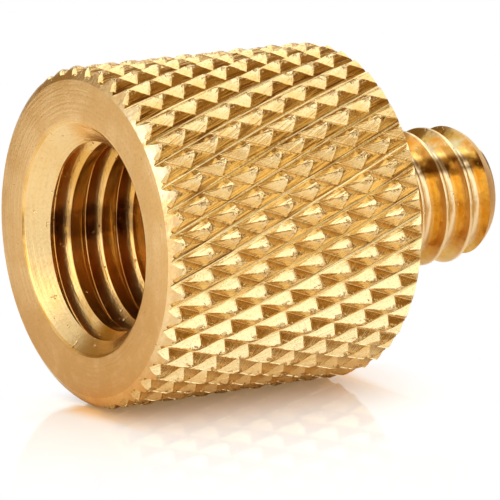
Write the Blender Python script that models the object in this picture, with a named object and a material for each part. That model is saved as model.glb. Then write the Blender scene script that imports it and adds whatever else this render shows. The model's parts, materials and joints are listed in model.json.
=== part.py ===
"""Tripod thread adapter: a knurled brass body with a threaded socket in one end and a threaded stud on the other.

The adapter is one turned piece. It stands on its mouth face at z = 0 with the stud up, and its axis is the Z axis.
"""

import math

import bmesh
import bpy

MM = 0.001
FULL_TURN = 2.0 * math.pi
FLANK_SLOPE = math.tan(math.radians(30.0))

# Body
BODY_LENGTH = 12.77 * MM
KNURL_CREST_RADIUS = 7.37 * MM
KNURL_DEPTH = 0.41 * MM
KNURL_GROOVES = 42
RIGHT_HAND_ANGLE = math.radians(21.2)
LEFT_HAND_ANGLE = math.radians(22.3)
RIGHT_HAND_START = math.radians(0.754)
LEFT_HAND_START = math.radians(3.577)
CHAMFER_DEPTH = 0.57 * MM
CHAMFER_LENGTH = 0.36 * MM
BODY_SEGMENTS = 84

# Socket, a coarse three-eighths inch thread
SOCKET_PITCH = 25.4 / 16 * MM
SOCKET_CREST_RADIUS = 4.08 * MM
SOCKET_THREAD_DEPTH = 0.70 * MM
SOCKET_ROOT_FLAT = 0.20 * MM
SOCKET_THREAD_LENGTH = 8.60 * MM
SOCKET_LEAD_OUT = 1.60 * MM
SOCKET_FULL_DEPTH = 9.80 * MM
SOCKET_GROOVE_HEIGHT = 2.097 * MM
DRILL_POINT_ANGLE = math.radians(118.0)
COUNTERSINK_RADIUS = 5.015 * MM
COUNTERSINK_ANGLE = math.radians(90.0)
SOCKET_SEGMENTS = 48

# Stud, a coarse quarter inch thread
STUD_PITCH = 25.4 / 20 * MM
STUD_CREST_RADIUS = 3.05 * MM
STUD_THREAD_DEPTH = 0.70 * MM
STUD_CREST_FLAT = 0.16 * MM
STUD_LENGTH = 7.13 * MM
STUD_NECK_LENGTH = 0.30 * MM
STUD_RIDGE_HEIGHT = 4.021 * MM
STUD_END_RADIUS = 2.26 * MM
STUD_END_LENGTH = 0.95 * MM
STUD_END_STEPS = 4
STUD_SEGMENTS = 36

# Clearances of the tools that shape the part
TOOL_OVERRUN = 1.0 * MM
TOOL_CLEARANCE = 0.03 * MM
WELD_DISTANCE = 0.0003 * MM

BRASS_COLOUR = (0.72, 0.48, 0.19, 1.0)
BRASS_ROUGHNESS = 0.3
SMOOTH_ANGLE = math.radians(25.0)


def clear_scene():
    """Removes every object that a new file starts with."""
    for item in list(bpy.data.objects):
        bpy.data.objects.remove(item)


def polar(radius, angle, height):
    """Returns the point at a radius, an angle about the axis and a height."""
    return (radius * math.cos(angle), radius * math.sin(angle), height)


def solid_from(name, mesh_builder):
    """Turns a finished bmesh into a linked object with its faces turned outward."""
    bmesh.ops.recalc_face_normals(mesh_builder, faces=mesh_builder.faces)
    mesh = bpy.data.meshes.new(name)
    mesh_builder.to_mesh(mesh)
    mesh_builder.free()
    item = bpy.data.objects.new(name, mesh)
    bpy.context.collection.objects.link(item)
    return item


def turned_solid(name, outline, segments):
    """Spins an outline of (radius, height) pairs, which starts and ends on the axis, about the axis.

    Its corners lie half a facet away from the +X side, so they fall between those of a threaded rod.
    """
    builder = bmesh.new()
    half_facet = math.pi / segments
    points = [builder.verts.new(polar(radius, half_facet, height)) for radius, height in outline]
    edges = [builder.edges.new(pair) for pair in zip(points, points[1:])]
    bmesh.ops.spin(builder, geom=points + edges, cent=(0, 0, 0), axis=(0, 0, 1), angle=FULL_TURN,
                   steps=segments, use_merge=True)
    bmesh.ops.remove_doubles(builder, verts=builder.verts, dist=WELD_DISTANCE)
    return solid_from(name, builder)


def threaded_rod(name, crest_radius, root_radius, crest_flat, pitch, ridge_height, bottom, top, segments):
    """Builds a right-hand threaded rod that spans at least from bottom to top.

    One ridge has its middle at ridge_height on the +X side. The ends are left stepped, to be cut by another tool.
    """
    flank = (crest_radius - root_radius) * FLANK_SLOPE
    profile = [
        (crest_radius, -crest_flat / 2),
        (crest_radius, crest_flat / 2),
        (root_radius, crest_flat / 2 + flank),
        (root_radius, pitch - crest_flat / 2 - flank),
    ]
    first_turn = math.floor((bottom - ridge_height) / pitch) - 1
    last_turn = math.ceil((top - ridge_height) / pitch) + 1
    builder = bmesh.new()
    columns = []
    for column in range(segments):
        share = column / segments
        turns = range(first_turn, last_turn + (1 if column == 0 else 0))
        columns.append([
            builder.verts.new(polar(radius, FULL_TURN * share, ridge_height + (turn + share) * pitch + offset))
            for turn in turns
            for radius, offset in profile
        ])
    steps = len(profile)
    columns.append(columns[0][steps:])
    for left, right in zip(columns, columns[1:]):
        for low in range(len(right) - 1):
            builder.faces.new((left[low], right[low], right[low + 1], left[low + 1]))
    first, last = columns[0], columns[segments - 1]
    low_ring = [column[0] for column in columns[:segments]] + list(reversed(first[1:steps + 1]))
    high_ring = [column[len(last) - 1] for column in columns[:segments]] + list(reversed(first[len(last):]))
    for ring, height in ((low_ring, low_ring[0].co.z), (high_ring, high_ring[0].co.z)):
        middle = builder.verts.new((0, 0, height))
        for here, there in zip(ring, ring[1:] + ring[:1]):
            builder.faces.new((middle, here, there))
    return solid_from(name, builder)


def knurled_bar(name, bottom, top):
    """Builds a bar with two crossing families of grooves that leave a pyramid in every diamond."""
    root_radius = KNURL_CREST_RADIUS - KNURL_DEPTH
    step = FULL_TURN / KNURL_GROOVES
    right_turn = math.tan(RIGHT_HAND_ANGLE) / KNURL_CREST_RADIUS
    left_turn = math.tan(LEFT_HAND_ANGLE) / KNURL_CREST_RADIUS
    row_height = step / (right_turn + left_turn)
    cross_height = (LEFT_HAND_START - RIGHT_HAND_START) / (right_turn + left_turn)
    first_row = math.floor((bottom - cross_height) / row_height) - 1
    last_row = math.ceil((top - cross_height) / row_height) + 1
    builder = bmesh.new()
    crossings = []
    for row in range(first_row, last_row + 1):
        height = cross_height + row * row_height
        turned = LEFT_HAND_START - left_turn * height
        crossings.append([builder.verts.new(polar(root_radius, turned + step * place, height))
                          for place in range(KNURL_GROOVES)])
    for low, middle, high in zip(crossings, crossings[1:], crossings[2:]):
        height = middle[0].co.z
        for place in range(KNURL_GROOVES):
            beyond = (place + 1) % KNURL_GROOVES
            turned = math.atan2(middle[place].co.y, middle[place].co.x) + step / 2
            peak = builder.verts.new(polar(KNURL_CREST_RADIUS, turned, height))
            around = (low[place], middle[beyond], high[beyond], middle[place])
            for here, there in zip(around, around[1:] + around[:1]):
                builder.faces.new((peak, here, there))
    low_ring = [row[place] for place in range(KNURL_GROOVES) for row in (crossings[1], crossings[0])]
    high_ring = [row[place] for place in range(KNURL_GROOVES) for row in (crossings[-1], crossings[-2])]
    for ring, height in ((low_ring, crossings[0][0].co.z), (high_ring, crossings[-1][0].co.z)):
        middle = builder.verts.new((0, 0, height))
        for here, there in zip(ring, ring[1:] + ring[:1]):
            builder.faces.new((middle, here, there))
    return solid_from(name, builder)


def machine(solid, tool, operation):
    """Cuts, trims or joins a solid with a tool, keeps the result as its mesh and removes the tool."""
    modifier = solid.modifiers.new(operation.title(), 'BOOLEAN')
    modifier.operation = operation
    modifier.solver = 'EXACT'
    modifier.object = tool
    graph = bpy.context.evaluated_depsgraph_get()
    result = bpy.data.meshes.new_from_object(solid.evaluated_get(graph))
    solid.modifiers.clear()
    solid.data = result
    bpy.data.objects.remove(tool)
    return solid


def knurled_body():
    """Builds the knurled band with both of its ends chamfered."""
    chamfer_run = CHAMFER_LENGTH / CHAMFER_DEPTH
    face_radius = KNURL_CREST_RADIUS - CHAMFER_DEPTH
    blank_radius = KNURL_CREST_RADIUS + TOOL_CLEARANCE
    chamfer_height = (blank_radius - face_radius) * chamfer_run
    blank = turned_solid('turned_blank', [
        (0, 0),
        (face_radius, 0),
        (blank_radius, chamfer_height),
        (blank_radius, BODY_LENGTH - chamfer_height),
        (face_radius, BODY_LENGTH),
        (0, BODY_LENGTH),
    ], BODY_SEGMENTS)
    bar = knurled_bar('thread_adapter', 0, BODY_LENGTH)
    return machine(bar, blank, 'INTERSECT')


def threaded_stud():
    """Builds the stud with its plain neck at the shoulder and its rounded end. Its foot reaches into the body."""
    foot = BODY_LENGTH - TOOL_OVERRUN
    end = BODY_LENGTH + STUD_LENGTH
    rim_radius = STUD_CREST_RADIUS + TOOL_CLEARANCE
    outline = [(0, foot), (rim_radius, foot)]
    for step in range(STUD_END_STEPS + 1):
        turn = math.radians(90.0) * step / STUD_END_STEPS
        radius = STUD_END_RADIUS + (rim_radius - STUD_END_RADIUS) * math.cos(turn) ** 1.5
        outline.append((radius, end - STUD_END_LENGTH + STUD_END_LENGTH * math.sin(turn) ** 1.5))
    outline.append((0, end))
    envelope = turned_solid('stud_envelope', outline, STUD_SEGMENTS)
    rod = threaded_rod('threaded_stud', STUD_CREST_RADIUS, STUD_CREST_RADIUS - STUD_THREAD_DEPTH, STUD_CREST_FLAT,
                       STUD_PITCH, BODY_LENGTH + STUD_RIDGE_HEIGHT, foot, end, STUD_SEGMENTS)
    machine(rod, envelope, 'INTERSECT')
    neck_top = BODY_LENGTH + STUD_NECK_LENGTH
    neck = turned_solid('stud_neck', [
        (0, BODY_LENGTH - TOOL_OVERRUN / 2),
        (rim_radius, BODY_LENGTH - TOOL_OVERRUN / 2),
        (rim_radius, neck_top),
        (rim_radius - STUD_THREAD_DEPTH - TOOL_CLEARANCE * 2, neck_top + STUD_THREAD_DEPTH),
        (0, neck_top + STUD_THREAD_DEPTH),
    ], STUD_SEGMENTS)
    return machine(rod, neck, 'UNION')


def socket_tool():
    """Builds the shape that the countersink, the drill and the tap take out of the body."""
    groove_radius = SOCKET_CREST_RADIUS + SOCKET_THREAD_DEPTH
    tap_limit = turned_solid('tap_limit', [
        (0, -TOOL_OVERRUN / 2),
        (groove_radius + TOOL_CLEARANCE, -TOOL_OVERRUN / 2),
        (groove_radius + TOOL_CLEARANCE, SOCKET_THREAD_LENGTH - SOCKET_LEAD_OUT),
        (SOCKET_CREST_RADIUS - 2 * TOOL_CLEARANCE, SOCKET_THREAD_LENGTH),
        (0, SOCKET_THREAD_LENGTH),
    ], SOCKET_SEGMENTS)
    tap = threaded_rod('tap', groove_radius, SOCKET_CREST_RADIUS, SOCKET_ROOT_FLAT, SOCKET_PITCH,
                       SOCKET_GROOVE_HEIGHT, -TOOL_OVERRUN, SOCKET_THREAD_LENGTH, SOCKET_SEGMENTS)
    tap = machine(tap, tap_limit, 'INTERSECT')
    drill_radius = SOCKET_CREST_RADIUS - TOOL_CLEARANCE
    countersink_slope = math.tan(COUNTERSINK_ANGLE / 2)
    point_length = drill_radius / math.tan(DRILL_POINT_ANGLE / 2)
    drill = turned_solid('drill_and_countersink', [
        (0, -TOOL_OVERRUN),
        (COUNTERSINK_RADIUS + TOOL_OVERRUN * countersink_slope, -TOOL_OVERRUN),
        (drill_radius, (COUNTERSINK_RADIUS - drill_radius) / countersink_slope),
        (drill_radius, SOCKET_FULL_DEPTH),
        (0, SOCKET_FULL_DEPTH + point_length),
    ], SOCKET_SEGMENTS)
    return machine(drill, tap, 'UNION')


def brass():
    """Makes the plain brass finish."""
    material = bpy.data.materials.new('Brass')
    material.use_nodes = True
    shader = material.node_tree.nodes['Principled BSDF']
    shader.inputs['Base Color'].default_value = BRASS_COLOUR
    shader.inputs['Metallic'].default_value = 1.0
    shader.inputs['Roughness'].default_value = BRASS_ROUGHNESS
    return material


def finish(solid):
    """Welds stray corners, shades the round surfaces smooth and gives the part its material."""
    builder = bmesh.new()
    builder.from_mesh(solid.data)
    bmesh.ops.remove_doubles(builder, verts=builder.verts, dist=WELD_DISTANCE)
    bmesh.ops.dissolve_degenerate(builder, edges=builder.edges, dist=WELD_DISTANCE)
    bmesh.ops.triangulate(builder, faces=builder.faces)
    builder.to_mesh(solid.data)
    builder.free()
    solid.data.shade_smooth()
    solid.data.set_sharp_from_angle(angle=SMOOTH_ANGLE)
    solid.data.materials.clear()
    solid.data.materials.append(brass())
    solid.data.name = solid.name


def build():
    """Builds the whole adapter."""
    clear_scene()
    adapter = knurled_body()
    machine(adapter, threaded_stud(), 'UNION')
    machine(adapter, socket_tool(), 'DIFFERENCE')
    finish(adapter)


build()
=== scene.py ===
"""Dresses the tripod thread adapter: its fine knurl, both threads, the brass finishes and the studio."""

from __future__ import annotations

import json
import logging
import math
from dataclasses import dataclass, field
from enum import Enum
from itertools import product

import bmesh
import bpy
from mathutils import Matrix, Vector, noise

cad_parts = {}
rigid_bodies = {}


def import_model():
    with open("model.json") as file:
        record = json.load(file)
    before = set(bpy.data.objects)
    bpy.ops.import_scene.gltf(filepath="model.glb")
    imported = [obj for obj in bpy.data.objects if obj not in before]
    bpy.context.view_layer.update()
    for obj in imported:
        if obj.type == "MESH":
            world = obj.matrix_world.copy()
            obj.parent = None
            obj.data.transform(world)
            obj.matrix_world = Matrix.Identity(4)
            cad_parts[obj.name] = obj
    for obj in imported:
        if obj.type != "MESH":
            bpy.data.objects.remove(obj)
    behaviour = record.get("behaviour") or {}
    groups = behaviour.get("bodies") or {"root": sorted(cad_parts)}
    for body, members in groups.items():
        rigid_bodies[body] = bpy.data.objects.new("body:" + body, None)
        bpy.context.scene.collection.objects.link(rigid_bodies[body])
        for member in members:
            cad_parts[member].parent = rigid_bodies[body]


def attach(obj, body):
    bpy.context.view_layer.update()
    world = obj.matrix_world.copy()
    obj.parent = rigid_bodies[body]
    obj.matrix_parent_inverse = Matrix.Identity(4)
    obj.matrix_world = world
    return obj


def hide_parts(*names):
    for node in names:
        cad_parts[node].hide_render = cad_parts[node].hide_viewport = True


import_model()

log = logging.getLogger("thread_adapter")

MM = 0.001
FULL_TURN = 2.0 * math.pi
FLANK_ANGLE = math.radians(30.0)
ROUND_STEPS = 4
WELD = 0.0005 * MM
BODY_RADIUS = 7.37 * MM
BODY_LENGTH = 12.77 * MM
NODE = "thread_adapter"

Outline = list[tuple[float, float]]
Colour = tuple[float, float, float, float]
Plug = bpy.types.NodeSocket
Number = Plug | float
Span = tuple[float, float]


class Machining(Enum):
    """How a tool changes a solid."""

    CUT = "DIFFERENCE"
    JOIN = "UNION"
    TRIM = "INTERSECT"


class Surface(Enum):
    """The kinds of surface on the adapter, in the order of its material slots."""

    KNURL = 0
    TURNED_FACE = 1
    BORE = 2
    STUD = 3
    CHAMFER = 4
    COUNTERSINK = 5


def polar(radius: float, angle: float, height: float) -> Vector:
    """Returns the point at a radius, an angle about the axis and a height."""
    return Vector((radius * math.cos(angle), radius * math.sin(angle), height))


def held(value: float) -> float:
    """Holds a value between 0 and 1."""
    return min(max(value, 0.0), 1.0)


def object_from(name: str, builder: bmesh.types.BMesh) -> bpy.types.Object:
    """Turns a closed bmesh into a linked object.

    Args:
        name: The object's name.
        builder: The bmesh, which is freed here.

    Returns:
        The new object, with its faces turned outward.
    """
    bmesh.ops.recalc_face_normals(builder, faces=builder.faces)
    mesh = bpy.data.meshes.new(name)
    builder.to_mesh(mesh)
    builder.free()
    item = bpy.data.objects.new(name, mesh)
    bpy.context.collection.objects.link(item)
    return item


def turned_solid(name: str, outline: Outline, segments: int) -> bpy.types.Object:
    """Spins an outline about the axis.

    Args:
        name: The object's name.
        outline: Pairs of radius and height, from the axis back to the axis.
        segments: The number of facets round the solid.

    Returns:
        The closed solid of revolution, with its corners half a facet off the +X side.
    """
    builder = bmesh.new()
    start = math.pi / segments
    points = [builder.verts.new(polar(radius, start, height)) for radius, height in outline]
    edges = [builder.edges.new(pair) for pair in zip(points, points[1:])]
    bmesh.ops.spin(builder, geom=points + edges, cent=(0, 0, 0), axis=(0, 0, 1), angle=FULL_TURN,
                   steps=segments, use_merge=True)
    bmesh.ops.remove_doubles(builder, verts=builder.verts, dist=WELD)
    return object_from(name, builder)


def close_ends(builder: bmesh.types.BMesh) -> None:
    """Closes both open ends of a tube round the axis, each with a fan of faces from a point on the axis.

    Args:
        builder: The bmesh that holds the tube and nothing else.
    """
    rims = [edge for edge in builder.edges if len(edge.link_faces) == 1]
    heights = [vertex.co.z for edge in rims for vertex in edge.verts]
    middle = (min(heights) + max(heights)) / 2
    low_point = builder.verts.new((0, 0, min(heights)))
    high_point = builder.verts.new((0, 0, max(heights)))
    for edge in rims:
        point = low_point if edge.verts[0].co.z < middle else high_point
        builder.faces.new((edge.verts[0], edge.verts[1], point))


def machine(solid: bpy.types.Object, tool: bpy.types.Object, how: Machining) -> bpy.types.Object:
    """Works a solid with a tool and removes the tool.

    Args:
        solid: The object whose mesh is changed.
        tool: The object that cuts, trims or joins it.
        how: What the tool does.

    Returns:
        The solid, with the result as its mesh.
    """
    modifier = solid.modifiers.new(how.name.title(), 'BOOLEAN')
    modifier.operation = how.value
    modifier.solver = 'EXACT'
    modifier.object = tool
    graph = bpy.context.evaluated_depsgraph_get()
    result = bpy.data.meshes.new_from_object(solid.evaluated_get(graph))
    solid.modifiers.clear()
    solid.data = result
    bpy.data.objects.remove(tool)
    return solid


@dataclass(frozen=True)
class Smear:
    """Metal rolled over into the grooves beside the socket's rim, on the side that rubbed.

    Its angles are degrees about the axis, and its reaches are millimetres up from the mouth face.
    """

    ends_above: float = 1.2 * MM
    first_angle: float = 62.0
    fade_in: float = 40.0
    last_angle: float = 290.0
    fade_out: float = 60.0
    lowest_angle: float = -60.0
    reach: float = 0.35
    waver: float = 0.12
    waver_scale: float = 1.3
    edge: float = 0.3
    clear_below: float = 0.3

    def height(self, place: Vector, depth: float) -> float:
        """Works out how high the rolled metal stands above the grooves' bottom.

        Args:
            place: The place on the knurl.
            depth: The depth of the grooves, which the metal fills at most.

        Returns:
            The height, which is below the bottom where no metal was rolled over.
        """
        if place.z > self.ends_above:
            return -depth
        turn = math.degrees(math.atan2(place.y, place.x))
        turn += 360.0 if turn < self.lowest_angle else 0.0
        side = held((turn - self.first_angle) / self.fade_in)
        side *= held((self.last_angle - turn) / self.fade_out)
        reach = self.reach + self.reach * side + self.waver * noise.noise(place / MM * self.waver_scale)
        share = held((reach - place.z / MM) / self.edge)
        return depth * (share * side - (1.0 - share * side) * self.clear_below)


@dataclass
class Knurl:
    """The two crossing families of grooves and the worn pyramids between them.

    A groove line's number is whole at the bottom of a groove, and a fraction lies between two grooves.
    """

    crest_radius: float = BODY_RADIUS
    depth: float = 0.41 * MM
    grooves: int = 42
    right_hand_angle: float = math.radians(21.2)
    left_hand_angle: float = math.radians(22.3)
    right_hand_start: float = math.radians(0.754)
    left_hand_start: float = math.radians(3.577)
    left_floor: float = 0.035
    right_floor: float = 0.014
    right_peak: float = 0.44
    left_extra: float = 0.048 * MM
    left_splits: tuple[float, ...] = (0.0, 0.035, 0.12, 0.22, 0.32, 0.41, 0.5, 0.59, 0.68, 0.78, 0.88, 0.965)
    ridge_width: float = 0.22
    tear: float = 0.02 * MM
    tear_scale: float = 4.5
    score: float = 0.03 * MM
    score_reach: float = 0.3
    score_across: float = 9.0
    score_along: float = 0.13
    score_layer: float = 4.0
    blunt_from: float = 0.3
    steepening: float = 1.13
    round_from: float = 0.78
    round_span: float = 0.22
    worn_from: float = 0.66
    worn_span: float = 0.34
    crater: float = 0.035 * MM
    crater_share: float = 0.5
    crater_swing: float = 1.4
    crater_scale: float = 3.0
    crater_shift: tuple[float, float, float] = (7.0, 3.0, 1.0)
    smear: Smear = Smear()

    @property
    def step(self) -> float:
        """Returns the angle from one groove to the next."""
        return FULL_TURN / self.grooves

    @property
    def right_turn(self) -> float:
        """Returns how far a right-hand groove turns for each metre of length."""
        return math.tan(self.right_hand_angle) / self.crest_radius

    @property
    def left_turn(self) -> float:
        """Returns how far a left-hand groove turns for each metre of length."""
        return math.tan(self.left_hand_angle) / self.crest_radius

    @property
    def root_radius(self) -> float:
        """Returns the radius at the bottom of the grooves."""
        return self.crest_radius - self.depth

    @property
    def right_splits(self) -> tuple[float, ...]:
        """Places the right-hand splits where the metal stands as high as at the left-hand ones.

        Returns:
            The splits, as shares of the way from one right-hand groove to the next.
        """
        half = len(self.left_splits) // 2
        levels = [max(0.0, self.left_height(split) / self.depth) for split in self.left_splits]
        rising = self.right_peak - self.right_floor
        falling = 1.0 - self.right_floor - self.right_peak
        near = [self.right_floor + level * rising for level in levels[1:half + 1]]
        far = [1.0 - self.right_floor - level * falling for level in levels[half + 1:]]
        return 0.0, *near, *far

    def left_height(self, left: float) -> float:
        """Works out how high the metal stands where only the left-hand grooves are cut.

        Args:
            left: The place's number across the left-hand grooves.

        Returns:
            The height above the grooves' bottom.
        """
        from_left = min(left % 1.0, 1.0 - left % 1.0)
        rise = max(0.0, from_left - self.left_floor) / (0.5 - self.left_floor)
        return rise * (self.depth + self.left_extra) - self.left_extra

    def right_height(self, right: float) -> float:
        """Works out how high the metal stands where only the right-hand grooves are cut.

        Args:
            right: The place's number across the right-hand grooves.

        Returns:
            The height above the grooves' bottom.
        """
        across = right % 1.0
        near = (across - self.right_floor) / (self.right_peak - self.right_floor)
        far = (1.0 - across - self.right_floor) / (1.0 - self.right_peak - self.right_floor)
        return self.depth * max(0.0, min(near, far))

    def crossing(self, left: float, right: float) -> tuple[float, float]:
        """Finds where two groove lines cross.

        Args:
            left: The number of the left-hand line, which may lie between two grooves.
            right: The number of the right-hand line.

        Returns:
            The crossing's angle about the axis and its height.
        """
        offset = self.left_hand_start - self.right_hand_start + (left - right) * self.step
        height = offset / (self.left_turn + self.right_turn)
        return self.left_hand_start + left * self.step - self.left_turn * height, height

    def lines_at(self, angle: float, height: float) -> tuple[float, float]:
        """Finds the groove lines that run through a place on the band.

        Args:
            angle: The place's angle about the axis.
            height: Its height.

        Returns:
            The numbers of the left-hand line and the right-hand line.
        """
        left = (angle - self.left_hand_start + self.left_turn * height) / self.step
        right = (angle - self.right_hand_start - self.right_turn * height) / self.step
        return left, right

    def relief(self, left: float, right: float, place: Vector) -> float:
        """Works out how far the metal stands above the bottom of the grooves.

        Args:
            left: The place's number across the left-hand grooves.
            right: The place's number across the right-hand grooves.
            place: The place itself, which seeds the wear.

        Returns:
            The height of the metal in metres.
        """
        from_left = min(left % 1.0, 1.0 - left % 1.0)
        left_height, right_height = self.left_height(left), self.right_height(right)
        height = min(left_height, right_height)
        rise = max(0.0, height / self.depth)
        seed = place / MM
        on_ridge = max(0.0, 1.0 - abs(left_height - right_height) / (self.ridge_width * self.depth))
        height += self.tear * on_ridge * rise * noise.noise(seed * self.tear_scale)
        beside = max(0.0, 1.0 - from_left / self.score_reach)
        scored = noise.noise(Vector((left * self.score_across, right * self.score_along, self.score_layer)))
        height += self.score * beside * scored
        if rise > self.blunt_from:
            height = self.depth * self.blunted(height / self.depth)
        if rise > self.worn_from:
            worn = ((rise - self.worn_from) / self.worn_span) ** 2
            dent = noise.noise(seed * self.crater_scale + Vector(self.crater_shift))
            height -= self.crater * worn * (self.crater_share + self.crater_swing * dent)
        return max(height, self.smear.height(place, self.depth))

    def blunted(self, rise: float) -> float:
        """Steepens a flank a little and rounds its top over, so that the peaks stay at the same height.

        Args:
            rise: A height, as a share of the grooves' depth.

        Returns:
            The height after the wear, as such a share.
        """
        steep = rise * self.steepening
        if steep < self.round_from:
            return steep
        past = (self.round_from - steep) / self.round_span
        return self.round_from + self.round_span * (1.0 - math.exp(past))

    def bar(self, name: str, bottom: float, top: float) -> bpy.types.Object:
        """Builds a knurled bar that spans at least from bottom to top.

        Args:
            name: The object's name.
            bottom: The height that the bar reaches down to, or past.
            top: The height that it reaches up to, or past.

        Returns:
            The closed bar, with ragged ends for another tool to cut.
        """
        builder = bmesh.new()
        count = len(self.left_splits)
        around = self.grooves * count
        right_splits = self.right_splits
        corners: dict[tuple[int, int], bmesh.types.BMVert] = {}

        def corner(left: int, right: int) -> bmesh.types.BMVert:
            """Gives the vertex on two split lines, and makes it the first time.

            Args:
                left: The number of the left-hand split line.
                right: The number of the right-hand split line.

            Returns:
                The vertex.
            """
            turns = left // around
            key = (left - turns * around, right - turns * around)
            if key not in corners:
                left_line = key[0] // count + self.left_splits[key[0] % count]
                right_line = key[1] // count + right_splits[key[1] % count]
                angle, height = self.crossing(left_line, right_line)
                place = polar(self.crest_radius, angle, height)
                radius = self.root_radius + self.relief(left_line, right_line, place)
                corners[key] = builder.verts.new(polar(radius, angle, height))
            return corners[key]

        start = self.crossing(0, 0)[1]
        row_height = self.crossing(1, 0)[1] - start
        first = math.floor((bottom - start) / row_height) - 2
        last = math.ceil((top - start) / row_height) + 1
        cells = product(range(first, last + 1), range(self.grooves), range(count), range(count))
        for row, cell, step_left, step_right in cells:
            left = cell * count + step_left
            right = (cell - row) * count + step_right
            quad = [corner(left + up, right + over) for up, over in ((0, 0), (1, 0), (1, 1), (0, 1))]
            # Each quad is split along its pyramid's ridge.
            if (step_left < count / 2) != (step_right < count / 2):
                quad = quad[1:] + quad[:1]
            builder.faces.new(quad[:3])
            builder.faces.new((quad[0], quad[2], quad[3]))
        close_ends(builder)
        return object_from(name, builder)


@dataclass
class Thread:
    """A right-hand thread, as a rod whose ridges stand out."""

    pitch: float
    crest_radius: float
    root_radius: float
    crest_flat: float
    ridge_height: float
    segments: int
    root_round: float = 0.0
    crest_round: float = 0.0

    def profile(self) -> Outline:
        """Draws one pitch of the profile, from the middle of a ridge to just before the next.

        Returns:
            Pairs of radius and offset along the axis.
        """
        flank = (self.crest_radius - self.root_radius) * math.tan(FLANK_ANGLE)
        half = self.crest_flat / 2
        foot = half + flank
        points = [(self.crest_radius, 0.0)]
        points += self.rounded(self.crest_radius, half, -1, self.crest_round)
        points += self.rounded(self.root_radius, foot, 1, self.root_round)
        points += [(radius, self.pitch - offset) for radius, offset in reversed(points[1:])]
        return points

    @staticmethod
    def rounded(radius: float, offset: float, side: int, size: float) -> Outline:
        """Rounds the corner between a flat and the flank beside it.

        Args:
            radius: The corner's radius about the axis.
            offset: The corner's place along the axis.
            side: 1 for an inner corner at a root, -1 for an outer corner at a crest.
            size: How far the round reaches along both sides of the corner.

        Returns:
            The points of the round, or the corner alone if its size is nothing.
        """
        if size <= 0:
            return [(radius, offset)]
        flat_end = Vector((radius, offset + side * size))
        flank_end = Vector((radius + side * size * math.cos(FLANK_ANGLE),
                            offset - side * size * math.sin(FLANK_ANGLE)))
        tip = Vector((radius, offset))
        first, last = (flank_end, flat_end) if side > 0 else (flat_end, flank_end)
        points = []
        for step in range(ROUND_STEPS + 1):
            share = step / ROUND_STEPS
            point = first * (1 - share) ** 2 + tip * 2 * share * (1 - share) + last * share ** 2
            points.append((point.x, point.y))
        return points

    def rod(self, name: str, bottom: float, top: float) -> bpy.types.Object:
        """Builds a threaded rod that spans at least from bottom to top.

        Args:
            name: The object's name.
            bottom: The height that the rod reaches down to, or past.
            top: The height that it reaches up to, or past.

        Returns:
            The closed rod, with stepped ends for another tool to cut.
        """
        profile = self.profile()
        steps = len(profile)
        first_turn = math.floor((bottom - self.ridge_height) / self.pitch) - 1
        last_turn = math.ceil((top - self.ridge_height) / self.pitch) + 1
        builder = bmesh.new()
        columns = []
        for column in range(self.segments):
            share = column / self.segments
            turns = range(first_turn, last_turn + (1 if column == 0 else 0))
            heights = [self.ridge_height + (turn + share) * self.pitch for turn in turns]
            columns.append([
                builder.verts.new(polar(radius, FULL_TURN * share, height + offset))
                for height in heights
                for radius, offset in profile
            ])
        columns.append(columns[0][steps:])
        for left, right in zip(columns, columns[1:]):
            for low in range(len(right) - 1):
                builder.faces.new((left[low], right[low], right[low + 1], left[low + 1]))
        close_ends(builder)
        return object_from(name, builder)


@dataclass
class Stud:
    """The threaded stud with its plain neck and rounded end."""

    foot: float = BODY_LENGTH
    length: float = 7.13 * MM
    neck_length: float = 0.30 * MM
    end_radius: float = 2.26 * MM
    end_length: float = 1.2 * MM
    end_steps: int = 10
    end_power: float = 1.5
    margin: float = 0.02 * MM
    buried: float = 1.0 * MM
    neck_buried: float = 0.5 * MM
    neck_relief: float = 0.06 * MM
    thread: Thread = field(default_factory=lambda: Thread(
        pitch=25.4 / 20 * MM, crest_radius=3.03 * MM, root_radius=2.33 * MM, crest_flat=0.16 * MM,
        ridge_height=16.791 * MM, segments=120, root_round=0.13 * MM, crest_round=0.05 * MM))

    def build(self) -> bpy.types.Object:
        """Builds the stud.

        Returns:
            The solid, whose foot reaches into the body.
        """
        rim = self.thread.crest_radius + self.margin
        end = self.foot + self.length
        low = self.foot - self.buried
        outline: Outline = [(0, low), (rim, low)]
        for step in range(self.end_steps + 1):
            turn = math.radians(90.0) * step / self.end_steps
            radius = self.end_radius + (rim - self.end_radius) * math.cos(turn) ** self.end_power
            outline.append((radius, end - self.end_length * (1 - math.sin(turn) ** self.end_power)))
        outline.append((0, end))
        rod = self.thread.rod("stud", low, end)
        machine(rod, turned_solid("stud_envelope", outline, self.thread.segments), Machining.TRIM)
        neck_top = self.foot + self.neck_length
        slope = self.thread.crest_radius - self.thread.root_radius + self.neck_relief
        neck = turned_solid("stud_neck", [
            (0, self.foot - self.neck_buried),
            (rim, self.foot - self.neck_buried),
            (rim, neck_top),
            (rim - slope, neck_top + slope),
            (0, neck_top + slope),
        ], self.thread.segments)
        return machine(rod, neck, Machining.JOIN)


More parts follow.
